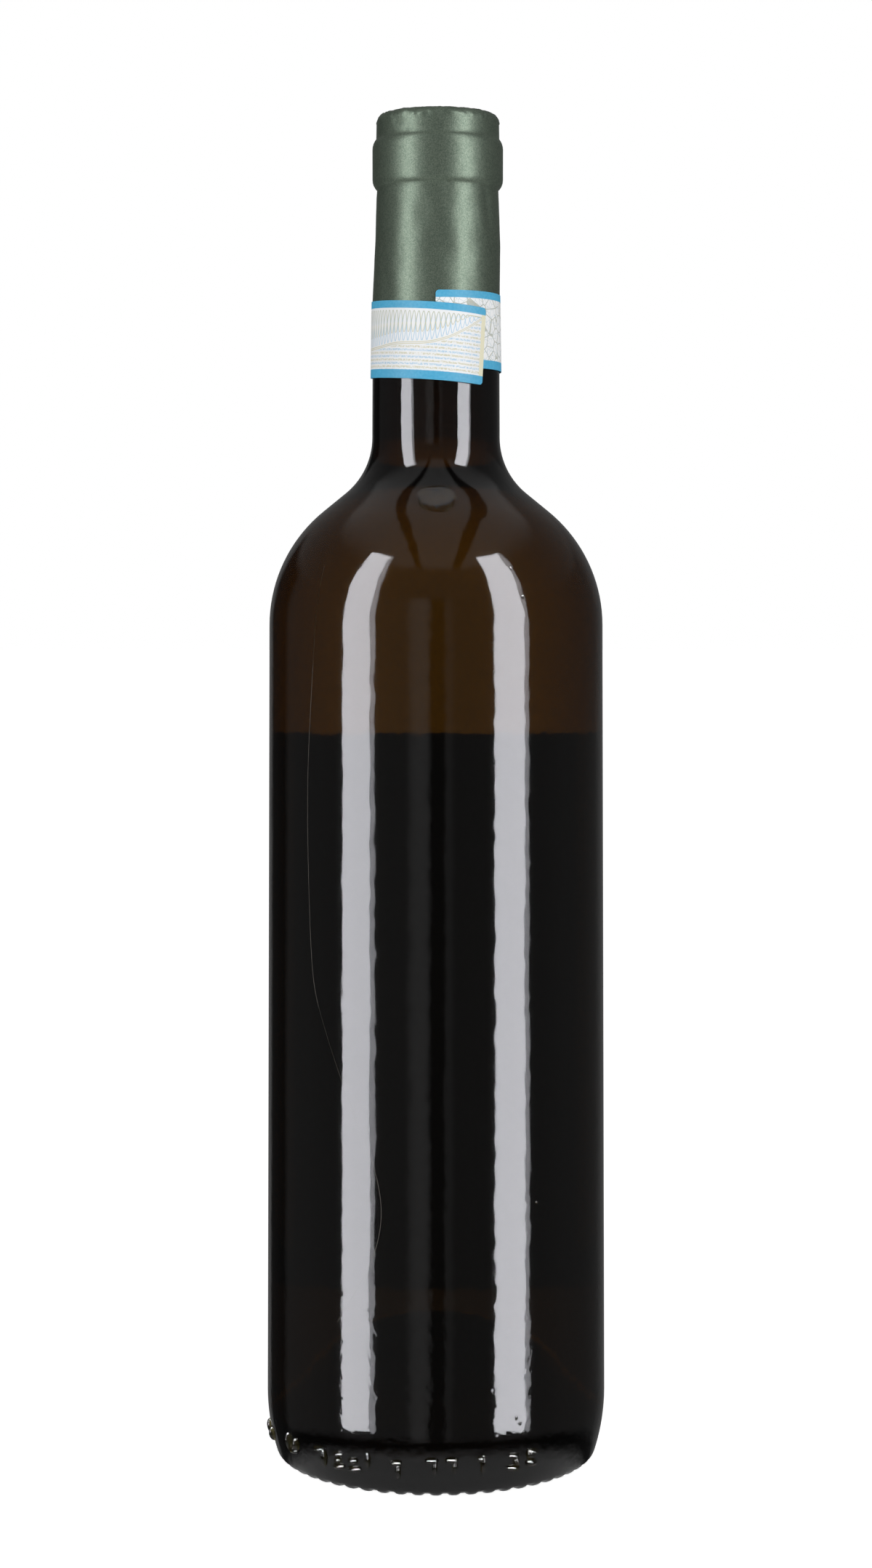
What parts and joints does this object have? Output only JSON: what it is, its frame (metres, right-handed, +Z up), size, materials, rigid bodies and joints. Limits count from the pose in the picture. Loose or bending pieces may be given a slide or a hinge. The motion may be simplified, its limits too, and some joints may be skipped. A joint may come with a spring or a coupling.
{
  "type": "wine bottle",
  "caption": "Full, sealed wine bottle of dark olive-brown glass, with a round shoulder, a punt in its base, a foil capsule, a paper strip over the capsule's edge and a plain label.",
  "frame": {"origin": "centre of the base, on the surface that the bottle stands on", "axes": "+Z up along the bottle's axis; +Y through the middle of the label, so -Y is the side without it"},
  "size_m": [0.0764, 0.0766, 0.3038],
  "materials": {
    "bottle_glass": "moulded dark olive-brown glass, glossy",
    "wine": "clear pale wine",
    "capsule_foil": "satin grey-green metallic foil",
    "strip_paper": "printed matt paper with blue borders",
    "label_paper": "uncoated matt paper"
  },
  "bodies": {
    "root": {"bottle": "bottle_glass", "wine": "wine", "capsule": "capsule_foil", "neck_strip": "strip_paper", "front_label": "label_paper"}
  },
  "joints": []
}
